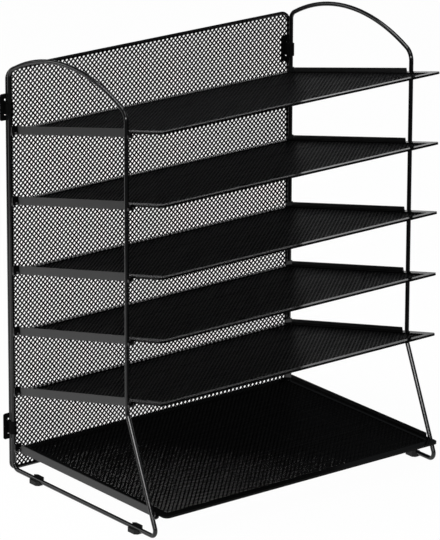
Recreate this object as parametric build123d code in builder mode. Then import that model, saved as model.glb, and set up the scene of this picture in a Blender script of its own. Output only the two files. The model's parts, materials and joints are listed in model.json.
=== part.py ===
"""A six-tier desk rack for paper, in millimetres.

Two bent-wire side frames are clipped to a mesh back panel and carry six mesh trays, which lift off the wires
that they hang on. The five upper trays slope down to the back and the lowest one lies level.
The origin is on the desk, under the middle of the rack; +Z is up and the open front faces -Y.
"""

import os
from math import atan2, cos, degrees, hypot, radians, sin, sqrt, tan

from build123d import *

# Wire, sheet and the gaps between pieces
wire_dia = 4.2  # side frames
panel_wire_dia = 3.5  # panel frame
run_clearance = 0.3  # between pieces that move past each other or lie side by side
weld_sink = 0.2  # how deep a welded wire beds into the one it crosses

# Side frames: one closed loop of wire each, as reaches ahead of the rear post and heights above the runner
frame_span = 330.0  # between the planes of the two loops
post_reach = 179.2  # front post
runner_reach = 224.5  # corner where the slanting leg and the runner would meet
kink_height = 108.0  # where the front post turns into the slanting leg
apex_height = 414.5  # top of the arch
apex_reach = 91.0
arch_radius = 174.0
arch_rear_radius = 9.7  # bend from the rear post into the arch
arch_front_radius = 13.0  # bend from the arch into the front post
kink_radius = 15.0
toe_radius = 6.0  # bend from the leg into the runner
heel_radius = 8.0  # bend from the runner into the rear post

# Back panel: a rounded frame of wire filled with mesh, behind the rear posts
panel_bottom = -1.2  # lowest wire, from the runner's height
panel_top = 389.6  # highest wire above the runner
panel_upper_radius = 9.0
panel_lower_radius = 6.0

# Trays, as heights of the rim's flat top above the runner, measured at the rear post, from the top tray down
tier_heights = (332.8, 264.9, 197.4, 137.3, 77.7, 22.2)
tier_slopes = (12.8, 12.8, 12.8, 12.8, 12.8, 0.0)  # degrees, the front higher than the back
tray_setback = 5.0  # from the rear post to the tray's back edge
tray_length = 227.8
tray_corner_radius = 5.5
rim_width = 8.0  # flat top of the folded strip around a tray
rim_height = 2.0  # its turned-down outer edge, with the flat top
rim_thickness = 0.8
rim_inner_radius = 2.0  # corners of the strip's inner edge
band_setback = 9.0  # from the rear post to the back end of the side bands
band_height = 7.8
band_rise = 3.0  # how far a band stands above the rim
band_thickness = 1.0
band_end_gap = 1.0  # from the band's front end to the front post

# Mesh: staggered diamond openings, drawn larger and fewer than those of the real expanded sheet
mesh_thickness = 0.9
mesh_open_share = 0.7  # of an opening in its cell, each way
mesh_lap = 5.0  # how far a tray's mesh reaches under the rim's flat top
mesh_columns = 12
tray_mesh_rows = 8
panel_mesh_rows = 12

# Tray supports: a wire under each side of a tray, its ends turned out onto the posts, the rear one with a tab
support_dia = 3.0
support_bend_radius = 4.0
support_end = 1.0  # past the middle of the post
support_tab_thickness = 1.0  # upright plate on the rear end, as tall as a side band

# Hinge clips: a plate behind the panel's side wire, with a strap around it and the rear post
clip_height = 25.5
clip_width = 13.4
clip_thickness = 1.0
clip_gap = 0.15  # around the wires
clip_corner_radius = 2.0
strap_height = 12.0
notch_width = 4.0  # windows above and below the strap, where it was pressed out
notch_height = 2.0
upper_clip_inset = 36.2  # from the panel's top wire down to the clip's middle
lower_clip_inset = 42.2  # from the panel's bottom wire up to the clip's middle

# Feet: plastic shoes snapped onto the runners from below
foot_length = 14.5
foot_width = 10.0
foot_sole = 2.0  # under the wire
foot_lip = 0.4  # above the wire, on the inside
foot_chamfer = 2.5
foot_reaches = (37.0, 191.0)  # middles, ahead of the rear post

# Places that follow from the sizes above
wire_radius = wire_dia / 2
support_radius = support_dia / 2
half_span = frame_span / 2
runner_z = foot_sole + wire_radius
panel_wire_radius = panel_wire_dia / 2
panel_setback = wire_radius + run_clearance + panel_wire_radius
clip_setback = panel_setback + panel_wire_radius + clip_gap
rear_y = (tray_setback + tray_length - clip_setback - clip_thickness) / 2
band_outer_x = half_span - wire_radius - run_clearance
tray_half_width = band_outer_x - band_thickness
support_x = tray_half_width - run_clearance - support_radius
support_drop = rim_height + run_clearance + support_radius
support_stand_off = wire_radius + support_radius - weld_sink
lean_stretch = hypot(runner_reach - post_reach, kink_height) / kink_height
clip_heights = {"upper": panel_top - upper_clip_inset, "lower": panel_bottom + lower_clip_inset}
sides = {"left": -1, "right": 1}


def tier_plane(tier):
    """The plane of a tray's flat top: local X is the rack's X, local -Y runs forward along the slope."""
    slope = radians(tier_slopes[tier])
    return Plane(
        origin=(0, rear_y, runner_z + tier_heights[tier]),
        x_dir=(1, 0, 0),
        z_dir=(0, sin(slope), cos(slope)),
    )


def along_slope(tier, reach, rise=0):
    """Distance forward in a tier's plane, or in one that lies a rise above it, to a reach from the rear post."""
    slope = radians(tier_slopes[tier])
    return (reach + rise * sin(slope)) / cos(slope)


def front_wire(tier):
    """Reach of the front post or leg where a tier meets it, and half the wire's thickness there, both level."""
    height = tier_heights[tier] + post_reach * tan(radians(tier_slopes[tier]))
    if height >= kink_height:
        return post_reach, wire_radius
    lean_share = 1 - (height - support_drop) / kink_height
    return post_reach + lean_share * (runner_reach - post_reach), wire_radius * lean_stretch


def save(piece, name):
    """Label a finished piece and write it to a file of its own."""
    piece.part.label = name
    export_step(piece.part, f"parts/{name}.step")


def swept(path, diameter):
    """Round wire along a path."""
    with BuildPart() as wire:
        with BuildSketch(Plane(origin=path @ 0, z_dir=path % 0)):
            Circle(diameter / 2)
        sweep(path=path)
    return wire


def side_frame(side):
    """One loop: rear post, arch, front post with its kink, slanting leg and runner."""
    plane = Plane(
        origin=(sides[side] * half_span, rear_y, runner_z), x_dir=(0, -1, 0), z_dir=(-1, 0, 0)
    )
    centre_height = apex_height - arch_radius
    rear_offset = arch_rear_radius - apex_reach
    rear_rise = sqrt((arch_radius - arch_rear_radius) ** 2 - rear_offset**2)
    front_offset = post_reach - arch_front_radius - apex_reach
    front_rise = sqrt((arch_radius - arch_front_radius) ** 2 - front_offset**2)
    rear_turn = degrees(atan2(rear_rise, rear_offset))
    front_turn = degrees(atan2(front_rise, front_offset))
    rear_shoulder = centre_height + rear_rise
    front_shoulder = centre_height + front_rise
    with BuildLine(plane) as loop:
        CenterArc((arch_rear_radius, rear_shoulder), arch_rear_radius, 180, rear_turn - 180)
        CenterArc((apex_reach, centre_height), arch_radius, rear_turn, front_turn - rear_turn)
        CenterArc(
            (post_reach - arch_front_radius, front_shoulder), arch_front_radius, front_turn, -front_turn
        )
        FilletPolyline(
            (post_reach, front_shoulder),
            (post_reach, kink_height),
            (runner_reach, 0),
            (0, 0),
            (0, rear_shoulder),
            radius=[kink_radius, toe_radius, heel_radius],
        )
    return swept(loop.wire(), wire_dia)


def rounded_area(sketch, width, height, upper_radius, lower_radius):
    """Rectangle in an open sketch, with its own radius for the upper and the lower corners."""
    Rectangle(width, height)
    fillet(sketch.vertices().group_by(Axis.Y)[-1], upper_radius)
    fillet(sketch.vertices().group_by(Axis.Y)[0], lower_radius)


def rounded_loop(plane, *size):
    """Closed path with rounded corners."""
    with BuildSketch(plane) as outline:
        rounded_area(outline, *size)
    return outline.sketch.face().outer_wire()


def mesh_sheet(plane, width, height, upper_radius, lower_radius, border, rows, neighbours=()):
    """Open sheet with a closed border, cut back from the pieces that bound it or pass through it."""
    cell_width = (width - border * 2) / mesh_columns
    cell_height = (height - border * 2) / rows
    gap_x = cell_width * mesh_open_share / 2
    gap_y = cell_height * mesh_open_share / 2
    with BuildPart() as sheet:
        with BuildSketch(plane.offset(-mesh_thickness / 2)) as outline:
            rounded_area(outline, width, height, upper_radius, lower_radius)
            for across, lines in ((mesh_columns, rows), (mesh_columns - 1, rows - 1)):
                with GridLocations(cell_width, cell_height, across, lines):
                    Polygon((gap_x, 0), (0, gap_y), (-gap_x, 0), (0, -gap_y), mode=Mode.SUBTRACT)
        extrude(amount=mesh_thickness)
        for neighbour in neighbours:
            add(neighbour.part, mode=Mode.SUBTRACT)
    return sheet


def tray_support(tier, side, frame):
    """Wire under one side of a tray, from the front of the rear post to the front of the front post or leg, with
    an upright tab on its rear end.
    """
    sign = sides[side]
    front_reach, front_half = front_wire(tier)
    rear_end = -along_slope(tier, support_stand_off, -support_drop)
    stand_off = support_stand_off * front_half / wire_radius
    front_end = -along_slope(tier, front_reach + stand_off, -support_drop)
    outer_x = sign * (half_span + support_end)
    inner_x = sign * support_x
    tab_inner_x = inner_x - sign * support_radius
    tab_level = runner_z + tier_heights[tier] + support_stand_off * tan(radians(tier_slopes[tier]))
    tab_plane = Plane(
        origin=(
            (outer_x + tab_inner_x) / 2,
            rear_y - support_stand_off + support_tab_thickness / 2,
            tab_level + band_rise - band_height / 2,
        ),
        x_dir=(1, 0, 0),
        z_dir=(0, -1, 0),
    )
    with BuildLine(tier_plane(tier).offset(-support_drop)) as route:
        FilletPolyline(
            (outer_x, rear_end),
            (inner_x, rear_end),
            (inner_x, front_end),
            (outer_x, front_end),
            radius=support_bend_radius,
        )
    with BuildPart() as support:
        with BuildSketch(Plane(origin=route.wire() @ 0, z_dir=route.wire() % 0)):
            Circle(support_radius)
        sweep(path=route.wire())
        with BuildSketch(tab_plane):
            Rectangle(abs(outer_x - tab_inner_x), band_height)
        extrude(amount=support_tab_thickness)
        add(frame.part, mode=Mode.SUBTRACT)
    return support


def tray_rim(plane):
    """Strip of sheet around a tray: a flat top whose outer edge is turned down."""
    width = tray_half_width * 2
    lip_radius = tray_corner_radius - rim_thickness
    with BuildPart() as rim:
        with BuildSketch(plane):
            RectangleRounded(width, tray_length, tray_corner_radius)
            RectangleRounded(
                width - rim_width * 2, tray_length - rim_width * 2, rim_inner_radius, mode=Mode.SUBTRACT
            )
        extrude(amount=-rim_thickness)
        with BuildSketch(plane):
            RectangleRounded(width, tray_length, tray_corner_radius)
            RectangleRounded(
                width - rim_thickness * 2, tray_length - rim_thickness * 2, lip_radius, mode=Mode.SUBTRACT
            )
        extrude(amount=-rim_height)
    return rim


def side_band(tier, side):
    """Plate welded upright against a tray's side, which stands above the rim and hangs outside the support."""
    front_reach, front_half = front_wire(tier)
    rear_end = along_slope(tier, band_setback)
    front_end = along_slope(tier, front_reach - front_half - band_end_gap)
    plane = tier_plane(tier)
    start = plane.from_local_coords((0, -rear_end, 0))
    middle_x = sides[side] * (tray_half_width + band_thickness / 2)
    with BuildPart() as band:
        with BuildSketch(Plane(origin=start, x_dir=plane.x_dir, z_dir=-plane.y_dir)):
            with Locations((middle_x, band_rise - band_height / 2)):
                Rectangle(band_thickness, band_height)
        extrude(amount=front_end - rear_end)
    return band


def hinge_clip(side, height):
    """Plate behind the panel's side wire, with a strap pressed out of it around that wire and the rear post."""
    middle_x = sides[side] * half_span
    middle_z = runner_z + height
    hole_width = wire_dia + clip_gap * 2
    hole_pitch = clip_setback - hole_width / 2
    notch_rise = (strap_height + notch_height) / 2
    with BuildPart() as clip:
        with BuildSketch(
            Plane(origin=(middle_x, rear_y + clip_setback, middle_z), x_dir=(-1, 0, 0), z_dir=(0, 1, 0))
        ):
            RectangleRounded(clip_width, clip_height, clip_corner_radius)
            with Locations((0, notch_rise), (0, -notch_rise)):
                Rectangle(notch_width, notch_height, mode=Mode.SUBTRACT)
        extrude(amount=clip_thickness)
        with BuildSketch(Plane.XY.offset(middle_z - strap_height / 2)):
            with Locations((middle_x, rear_y + hole_pitch / 2)):
                SlotCenterToCenter(hole_pitch, hole_width + clip_thickness * 2, rotation=90)
                SlotCenterToCenter(hole_pitch, hole_width, rotation=90, mode=Mode.SUBTRACT)
        extrude(amount=strap_height)
    return clip


def foot(side, reach, frame):
    """Shoe under a runner: low outside the wire, with a lip that rises above it on the inside."""
    sign = sides[side]
    outer_x = sign * foot_width / 2
    lip_x = -sign * wire_radius
    lip_z = runner_z + wire_radius + foot_lip
    back_y = rear_y - reach + foot_length / 2
    with BuildPart() as shoe:
        with BuildSketch(
            Plane(origin=(sign * half_span, back_y, 0), x_dir=(1, 0, 0), z_dir=(0, -1, 0))
        ):
            with BuildLine():
                Polyline(
                    (-outer_x, 0),
                    (outer_x, 0),
                    (outer_x, runner_z),
                    (lip_x, runner_z),
                    (lip_x, lip_z),
                    (-outer_x, lip_z),
                    close=True,
                )
            make_face()
        extrude(amount=foot_length)
        uprights = shoe.edges().filter_by(Axis.Z)
        chamfer(uprights.group_by(Axis.X)[0] + uprights.group_by(Axis.X)[-1], foot_chamfer)
        add(frame.part, mode=Mode.SUBTRACT)
    return shoe


def main():
    os.makedirs("parts", exist_ok=True)

    frames = {}
    for side in sides:
        frames[side] = side_frame(side)
        save(frames[side], f"{side}_side_frame")

    panel_height = panel_top - panel_bottom
    panel_plane = Plane(
        origin=(0, rear_y + panel_setback, runner_z + (panel_top + panel_bottom) / 2),
        x_dir=(1, 0, 0),
        z_dir=(0, -1, 0),
    )
    panel_size = (frame_span, panel_height, panel_upper_radius, panel_lower_radius)
    panel_frame = swept(rounded_loop(panel_plane, *panel_size), panel_wire_dia)
    save(panel_frame, "back_panel_frame")

    clips = []
    for side in sides:
        for place, height in clip_heights.items():
            clips.append(hinge_clip(side, height))
            save(clips[-1], f"{side}_{place}_clip")
        for place, reach in zip(("rear", "front"), foot_reaches):
            save(foot(side, reach, frames[side]), f"{side}_{place}_foot")
    panel_mesh = mesh_sheet(panel_plane, *panel_size, panel_wire_radius, panel_mesh_rows, [panel_frame, *clips])
    save(panel_mesh, "back_panel_mesh")

    mesh_inset = rim_width - mesh_lap
    mesh_width = (tray_half_width - mesh_inset) * 2
    mesh_size = (mesh_width, tray_length - mesh_inset * 2, rim_inner_radius, rim_inner_radius)
    for tier in range(len(tier_heights)):
        tray = f"tray_{tier + 1}"
        plane = tier_plane(tier)
        middle = plane.from_local_coords((0, -tray_setback - tray_length / 2, 0))
        top_plane = Plane(origin=middle, x_dir=plane.x_dir, z_dir=plane.z_dir)
        floor_plane = top_plane.offset(-rim_thickness - mesh_thickness / 2)
        save(tray_rim(top_plane), f"{tray}_rim")
        save(mesh_sheet(floor_plane, *mesh_size, mesh_lap, tray_mesh_rows), f"{tray}_mesh")
        for side in sides:
            save(side_band(tier, side), f"{tray}_{side}_band")
            save(tray_support(tier, side, frames[side]), f"{tray}_{side}_support")


main()
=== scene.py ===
"""Looks of the desk tray rack: open mesh in the panel and trays, powder coat, studio and camera.

Sizes of the rack and the camera's place are in millimetres, the studio's in metres.
"""

import json
import math

import bmesh
import bpy
from mathutils import Matrix, Vector


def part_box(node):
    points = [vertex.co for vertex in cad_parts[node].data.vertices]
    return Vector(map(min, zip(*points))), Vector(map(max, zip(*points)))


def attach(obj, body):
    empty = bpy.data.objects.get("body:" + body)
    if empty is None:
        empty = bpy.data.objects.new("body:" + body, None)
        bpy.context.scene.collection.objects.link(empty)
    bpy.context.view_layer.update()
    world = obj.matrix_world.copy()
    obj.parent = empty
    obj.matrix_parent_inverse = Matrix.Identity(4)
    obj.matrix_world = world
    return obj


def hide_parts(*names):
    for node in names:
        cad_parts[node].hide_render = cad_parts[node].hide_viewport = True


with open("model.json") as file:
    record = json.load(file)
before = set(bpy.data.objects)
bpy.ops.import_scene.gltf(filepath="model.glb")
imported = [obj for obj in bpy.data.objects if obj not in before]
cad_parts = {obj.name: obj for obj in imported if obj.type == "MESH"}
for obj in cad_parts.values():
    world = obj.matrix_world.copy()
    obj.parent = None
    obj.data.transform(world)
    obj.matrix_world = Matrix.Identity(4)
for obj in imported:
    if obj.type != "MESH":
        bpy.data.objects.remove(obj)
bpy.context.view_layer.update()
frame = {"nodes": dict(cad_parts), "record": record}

MM = 0.001

# Open mesh: staggered diamond holes, sizes across one cell and across one hole
CELL_WIDTH, CELL_HEIGHT = 4.857, 5.213
HOLE_WIDTH, HOLE_HEIGHT = 2.85, 3.2
STRAND_ROUNDING = 0.32  # how much wider a hole opens at the faces than in the middle of the strand
MESH_THICKNESS = 0.9
DIAMOND = ((1, 0), (0, 1), (-1, 0), (0, -1))
ON_HOLE = 1.01  # a point at up to this share of the hole's size counts as on its edge
PANEL_CORNERS, TRAY_CORNERS = (9.0, 6.0), (2.0, 2.0)  # radii of the meshes' upper and lower corners
PANEL_WIRE_RADIUS = 1.75

# Panel mesh left out around a clip's strap: in and out from the panel wire's middle line, and up and down
STRAP_INSIDE, STRAP_OUTSIDE, STRAP_RISE = 5.2, 3.0, 5.5

TRAYS = range(1, 7)
LEVEL_FACE = 0.9  # a face whose normal rises by more than this belongs to a rim's flat top

# Rounded edges of cut sheet and moulded plastic
EDGE_WIDTH, EDGE_SEGMENTS, EDGE_ANGLE = 0.2, 2, 40

# Coats: texture scales are per metre
WEAR_SCALE, WEAR_DETAIL, SKIN_DETAIL = 60, 3, 2
PEEL_DEPTH = 0.05

# Studio
LAMP_AIM = (0, 0, 0.2)
ROOM_COLOUR, ROOM_STRENGTH = (0.9, 0.95, 1, 1), 0.1
WHITE = (1, 1, 1, 1)
PAPER_COLOUR, PAPER_ROUGHNESS = (0.9, 0.9, 0.9, 1), 0.9
PAPER_WHITENESS = 0.98  # share of plain white in what the camera and reflections see of the floor
FLOOR_LEFT, FLOOR_FRONT, FLOOR_FAR, FLOOR_LEVEL = -0.9, -0.34, 12, -0.0003

# Camera
AZIMUTH, ELEVATION, ROLL = -37.857, 18.306, 0.227  # degrees
AIM = (0.0, 2.1, 212.0)
DISTANCE = 4444.0
LENS, SENSOR_WIDTH = 318.17, 36
SHIFT = (-0.00948, -0.02806)
CLIP_END = 200


def new_material(name):
    """A material, with its nodes, its links and its principled shader."""
    material = bpy.data.materials.new(name)
    material.use_nodes = True
    tree = material.node_tree
    return material, tree.nodes, tree.links, tree.nodes["Principled BSDF"]


def coat(name, colour, shine, gloss, grain, peel):
    """Powder coat or moulded plastic: shine is the specular level, gloss the range of roughness, grain the
    texture's scale and peel the strength of its bumps.
    """
    material, nodes, links, shader = new_material(name)
    shader.inputs["Base Color"].default_value = (*colour, 1)
    shader.inputs["Specular IOR Level"].default_value = shine
    place = nodes.new("ShaderNodeTexCoord")
    wear = nodes.new("ShaderNodeTexNoise")
    wear.inputs["Scale"].default_value = WEAR_SCALE
    wear.inputs["Detail"].default_value = WEAR_DETAIL
    spread = nodes.new("ShaderNodeMapRange")
    spread.inputs["To Min"].default_value = gloss[0]
    spread.inputs["To Max"].default_value = gloss[1]
    skin = nodes.new("ShaderNodeTexNoise")
    skin.inputs["Scale"].default_value = grain
    skin.inputs["Detail"].default_value = SKIN_DETAIL
    bump = nodes.new("ShaderNodeBump")
    bump.inputs["Strength"].default_value = peel
    bump.inputs["Distance"].default_value = PEEL_DEPTH * MM
    links.new(place.outputs["Object"], wear.inputs["Vector"])
    links.new(place.outputs["Object"], skin.inputs["Vector"])
    links.new(wear.outputs["Fac"], spread.inputs["Value"])
    links.new(spread.outputs["Result"], shader.inputs["Roughness"])
    links.new(skin.outputs["Fac"], bump.inputs["Height"])
    links.new(bump.outputs["Normal"], shader.inputs["Normal"])
    return material


LOOKS = {
    "coated_wire": coat("powder_coat_wire", (0.003, 0.003, 0.0031), 0.40, (0.12, 0.18), 900, 0.08),
    "coated_mesh": coat("powder_coat_mesh", (0.002, 0.002, 0.0021), 0.03, (0.36, 0.48), 900, 0.25),
    "coated_sheet": coat("powder_coat_sheet", (0.008, 0.008, 0.008), 0.45, (0.26, 0.36), 700, 0.25),
    "folded_rim": coat("powder_coat_rim", (0.003, 0.003, 0.003), 0.06, (0.12, 0.20), 700, 0.12),
    "pressed_clip": coat("powder_coat_clip", (0.003, 0.003, 0.003), 0.03, (0.35, 0.45), 700, 0.25),
    "foot_plastic": coat("moulded_plastic", (0.006, 0.006, 0.006), 0.2, (0.42, 0.55), 500, 0.4),
}
LOOK_OF_KIND = {"clip": "pressed_clip", "rim": "folded_rim"}  # where a slot's pieces don't all look alike


def dress(piece, look):
    """Give a piece one material."""
    piece.data.materials.clear()
    piece.data.materials.append(LOOKS[look])


def rounded_outline(half_width, half_height, corners, steps=8):
    """Corner points of a rectangle with rounded upper and lower corners, anticlockwise."""
    points = []
    for quarter, (sx, sy) in enumerate(((1, 1), (-1, 1), (-1, -1), (1, -1))):
        radius = corners[0] if sy > 0 else corners[1]
        for step in range(steps + 1):
            turn = math.radians(90 * (quarter + step / steps))
            points.append((
                sx * (half_width - radius) + radius * math.cos(turn),
                sy * (half_height - radius) + radius * math.sin(turn),
            ))
    return points


def clipped(polygon, outline):
    """A convex polygon cut to a convex anticlockwise outline, both as lists of (x, y) points."""
    for (ax, ay), (bx, by) in zip(outline, outline[1:] + outline[:1]):
        sides = [(bx - ax) * (y - ay) - (by - ay) * (x - ax) for x, y in polygon]
        if min(sides) >= 0:
            continue
        kept = []
        for here, there, d0, d1 in zip(polygon, polygon[1:] + polygon[:1], sides, sides[1:] + sides[:1]):
            if d0 >= 0:
                kept.append(here)
            if (d0 >= 0) != (d1 >= 0):
                share = d0 / (d0 - d1)
                kept.append(tuple(u + (v - u) * share for u, v in zip(here, there)))
        polygon = kept
        if len(polygon) < 3:
            return []
    return polygon


def distinct(polygon):
    """A polygon's points to the nearest micrometre, without repeats in a row."""
    points = []
    for x, y in polygon:
        point = (round(x, 3), round(y, 3))
        if not points or point != points[-1]:
            points.append(point)
    if points and points[0] == points[-1]:
        points.pop()
    return points


def open_mesh(name, half_width, half_height, corners, levels, keep_clear=()):
    """Sheet of expanded mesh in its own XY plane, cut to a rounded outline.

    It has the cells whose middles lie between two levels and outside the boxes to keep clear. Each cell is
    a diamond with a smaller diamond hole. Its four strands are trapezia from the cell's edge to the hole's
    edge, which bulges into the hole at mid thickness.
    """
    outline = rounded_outline(half_width, half_height, corners)
    a, b = CELL_WIDTH / 2, CELL_HEIGHT / 2
    hole_a, hole_b = (HOLE_WIDTH + STRAND_ROUNDING) / 2, (HOLE_HEIGHT + STRAND_ROUNDING) / 2
    bulge = HOLE_WIDTH / (HOLE_WIDTH + STRAND_ROUNDING)
    top = MESH_THICKNESS / 2
    columns, rows = int(half_width / a) + 2, int(half_height / b) + 2
    mesh = bmesh.new()
    vertices = {}
    walls = {}

    def vertex(x, y, z):
        key = (round(x, 3), round(y, 3), round(z, 3))
        if key not in vertices:
            vertices[key] = mesh.verts.new((x * MM, y * MM, z * MM))
        return vertices[key]

    def wanted(cx, cy):
        blocked = any(x0 < cx < x1 and y0 < cy < y1 for x0, y0, x1, y1 in keep_clear)
        return levels[0] <= cy < levels[1] and not blocked

    for row in range(-rows, rows + 1):
        for column in range(-columns, columns + 1):
            cx, cy = column * a, row * b
            if (row + column) % 2 or not wanted(cx, cy):
                continue
            for (ux, uy), (vx, vy) in zip(DIAMOND, DIAMOND[1:] + DIAMOND[:1]):
                strand = [
                    (cx + ux * a, cy + uy * b),
                    (cx + vx * a, cy + vy * b),
                    (cx + vx * hole_a, cy + vy * hole_b),
                    (cx + ux * hole_a, cy + uy * hole_b),
                ]
                points = distinct(clipped(strand, outline))
                if len(points) < 3:
                    continue
                mesh.faces.new([vertex(x, y, top) for x, y in points])
                mesh.faces.new([vertex(x, y, -top) for x, y in reversed(points)])
                for p, q in zip(points, points[1:] + points[:1]):
                    walls[(p, q)] = (cx, cy)

    for (p, q), (cx, cy) in walls.items():
        if (q, p) in walls:
            continue
        if all(abs(x - cx) / hole_a + abs(y - cy) / hole_b < ON_HOLE for x, y in (p, q)):
            mp, mq = ((cx + (x - cx) * bulge, cy + (y - cy) * bulge) for x, y in (p, q))
            mesh.faces.new([vertex(*q, top), vertex(*p, top), vertex(*mp, 0), vertex(*mq, 0)])
            mesh.faces.new([vertex(*mq, 0), vertex(*mp, 0), vertex(*p, -top), vertex(*q, -top)])
        else:
            mesh.faces.new([vertex(*q, top), vertex(*p, top), vertex(*p, -top), vertex(*q, -top)])
    for face in mesh.faces:
        face.smooth = True
    data = bpy.data.meshes.new(name)
    mesh.to_mesh(data)
    mesh.free()
    return data


def add_object(name, data):
    """A new object in the scene."""
    thing = bpy.data.objects.new(name, data)
    bpy.context.scene.collection.objects.link(thing)
    return thing


def place_mesh(name, data, matrix, body, node):
    """Stand a sheet of open mesh in for its plain CAD sheet."""
    piece = add_object(name, data)
    piece.matrix_world = matrix
    dress(piece, "coated_mesh")
    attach(piece, body)
    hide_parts(node)


def centre_and_size(node):
    """Middle and size of a CAD node's box, in metres."""
    lo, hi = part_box(node)
    return (lo + hi) / 2, hi - lo


# Back panel, in two halves: its wire's middle line is a wire radius inside the frame's box
centre, size = centre_and_size("back_panel_frame")
half_width = size.x / 2 / MM - PANEL_WIRE_RADIUS
half_height = size.z / 2 / MM - PANEL_WIRE_RADIUS
clear = []
for side, sign in (("left", -1), ("right", 1)):
    for level in ("upper", "lower"):
        clip_centre, _ = centre_and_size(f"{side}_{level}_clip")
        rise = (clip_centre.z - centre.z) / MM
        ends = sorted((sign * (half_width - STRAP_INSIDE), sign * (half_width + STRAP_OUTSIDE)))
        clear.append((ends[0], rise - STRAP_RISE, ends[1], rise + STRAP_RISE))
upright = Matrix.Translation(centre) @ Matrix.Rotation(math.radians(90), 4, "X")
for half, levels in (("lower", (-math.inf, 0)), ("upper", (0, math.inf))):
    data = open_mesh(f"panel_mesh_{half}", half_width, half_height, PANEL_CORNERS, levels, clear)
    place_mesh(f"panel_mesh_{half}", data, upright, "rack", "back_panel_mesh")

# Trays: one mesh shared by all, sized from the level tray and laid in the slope of each rim's flat top
_, size = centre_and_size("tray_6_mesh")
half_width, half_depth = size.x / 2 / MM, size.y / 2 / MM
tray_data = open_mesh("tray_mesh", half_width, half_depth, TRAY_CORNERS, (-half_depth, half_depth))
for number in TRAYS:
    tray = f"tray_{number}"
    faces = frame["nodes"][f"{tray}_rim"].data.polygons
    up = sum((face.normal * face.area for face in faces if face.normal.z > LEVEL_FACE), Vector())
    centre, _ = centre_and_size(f"{tray}_mesh")
    lie = Matrix.Translation(centre) @ Matrix.Rotation(-math.atan2(up.y, up.z), 4, "X")
    place_mesh(f"{tray}_open_mesh", tray_data, lie, tray, f"{tray}_mesh")

# CAD pieces that show as they are
slots = {part["node"]: part["material_slot"] for part in frame["record"]["subparts"]}
for name, node in frame["nodes"].items():
    kind = name.rsplit("_", 1)[-1]
    dress(node, LOOK_OF_KIND.get(kind, slots[name]))
    if slots[name] in ("coated_sheet", "foot_plastic"):
        rounding = node.modifiers.new("edges", "BEVEL")
        rounding.width = EDGE_WIDTH * MM
        rounding.segments = EDGE_SEGMENTS
        rounding.angle_limit = math.radians(EDGE_ANGLE)


def facing(at, back, side):
    """Matrix of a lamp or camera at a point: back is its own Z, and side, squared up to it, its own X."""
    back = back.normalized()
    side = (side - back * back.dot(side)).normalized()
    rise = back.cross(side)
    return Matrix((
        (side.x, rise.x, back.x, at.x),
        (side.y, rise.y, back.y, at.y),
        (side.z, rise.z, back.z, at.z),
        (0, 0, 0, 1),
    ))


def lamp(name, at, size, watts, along):
    """Soft box that faces the rack, its first size along the given direction."""
    data = bpy.data.lights.new(name, "AREA")
    data.shape = "RECTANGLE"
    data.size, data.size_y = size
    data.energy = watts
    light = add_object(name, data)
    light.matrix_world = facing(Vector(at), Vector(at) - Vector(LAMP_AIM), Vector(along))


lamp("overhead_box", (-0.5, 0.2, 2.0), (1.2, 1.2), 25, (1, 0, 0))
lamp("fill_box", (-0.7, -1.4, 1.9), (1.0, 1.0), 12, (1, 0, 0))
lamp("key_strip", (-1.4, -1.8, 0.78), (2.0, 0.24), 24, (-0.812, 0.537, -0.227))  # along the legs' reflections
lamp("rear_box", (-1.4, 1.8, 0.95), (1.0, 0.9), 7, (0.789, 0.614, 0))


def studio_world():
    """Dim room that is plain white to the camera."""
    world = bpy.data.worlds.new("studio")
    world.use_nodes = True
    nodes, links = world.node_tree.nodes, world.node_tree.links
    room = nodes["Background"]
    room.inputs["Color"].default_value = ROOM_COLOUR
    room.inputs["Strength"].default_value = ROOM_STRENGTH
    white = nodes.new("ShaderNodeBackground")
    white.inputs["Color"].default_value = WHITE
    white.inputs["Strength"].default_value = 1.0
    path = nodes.new("ShaderNodeLightPath")
    mix = nodes.new("ShaderNodeMixShader")
    links.new(path.outputs["Is Camera Ray"], mix.inputs["Fac"])
    links.new(room.outputs["Background"], mix.inputs[1])
    links.new(white.outputs["Background"], mix.inputs[2])
    links.new(mix.outputs["Shader"], nodes["World Output"].inputs["Surface"])
    return world


def math_node(nodes, operation):
    """A shader node that does one sum."""
    node = nodes.new("ShaderNodeMath")
    node.operation = operation
    return node


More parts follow.
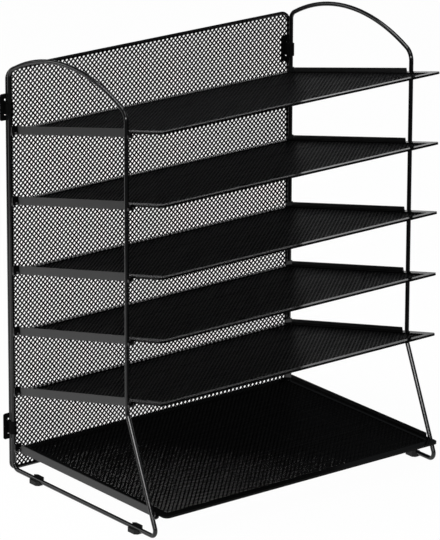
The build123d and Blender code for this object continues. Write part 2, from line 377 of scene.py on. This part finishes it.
def white_paper():
    """Floor that is lit as any surface, but to the camera and in reflections is nearly plain white."""
    material, nodes, links, shader = new_material("white_paper")
    shader.inputs["Base Color"].default_value = PAPER_COLOUR
    shader.inputs["Roughness"].default_value = PAPER_ROUGHNESS
    shader.inputs["Specular IOR Level"].default_value = 0.0
    path = nodes.new("ShaderNodeLightPath")
    first = math_node(nodes, "MAXIMUM")
    second = math_node(nodes, "MAXIMUM")
    share = math_node(nodes, "MULTIPLY")
    share.inputs[1].default_value = PAPER_WHITENESS
    glow = nodes.new("ShaderNodeEmission")
    glow.inputs["Color"].default_value = WHITE
    glow.inputs["Strength"].default_value = 1.0
    mix = nodes.new("ShaderNodeMixShader")
    links.new(path.outputs["Is Camera Ray"], first.inputs[0])
    links.new(path.outputs["Is Glossy Ray"], first.inputs[1])
    links.new(first.outputs["Value"], second.inputs[0])
    links.new(path.outputs["Is Transmission Ray"], second.inputs[1])
    links.new(second.outputs["Value"], share.inputs[0])
    links.new(share.outputs["Value"], mix.inputs["Fac"])
    links.new(shader.outputs["BSDF"], mix.inputs[1])
    links.new(glow.outputs["Emission"], mix.inputs[2])
    links.new(mix.outputs["Shader"], nodes["Material Output"].inputs["Surface"])
    return material


bpy.context.scene.world = studio_world()

# Floor: it ends just in front of the rack and to its left, so that the front posts reflect the dim room
floor_corners = [
    (FLOOR_LEFT, FLOOR_FRONT, FLOOR_LEVEL),
    (FLOOR_FAR, FLOOR_FRONT, FLOOR_LEVEL),
    (FLOOR_FAR, FLOOR_FAR, FLOOR_LEVEL),
    (FLOOR_LEFT, FLOOR_FAR, FLOOR_LEVEL),
]
floor_data = bpy.data.meshes.new("paper_floor")
floor_data.from_pydata(floor_corners, [], [(0, 1, 2, 3)])
floor_data.materials.append(white_paper())
add_object("paper_floor", floor_data)

# Camera, from the fit to the photograph
azimuth, elevation, roll = (math.radians(v) for v in (AZIMUTH, ELEVATION, ROLL))
right = Vector((math.cos(azimuth), math.sin(azimuth), 0))
ahead = Vector((
    -math.sin(azimuth) * math.cos(elevation),
    math.cos(azimuth) * math.cos(elevation),
    -math.sin(elevation),
))
rolled_right = right * math.cos(roll) + right.cross(ahead) * math.sin(roll)
camera_data = bpy.data.cameras.new("camera")
camera_data.lens = LENS
camera_data.sensor_width = SENSOR_WIDTH
camera_data.shift_x, camera_data.shift_y = SHIFT
camera_data.clip_end = CLIP_END
camera = add_object("camera", camera_data)
camera.matrix_world = facing((Vector(AIM) - ahead * DISTANCE) * MM, -ahead, rolled_right)
bpy.context.scene.camera = camera

bpy.context.scene.view_settings.view_transform = "Standard"

bpy.context.view_layer.update()
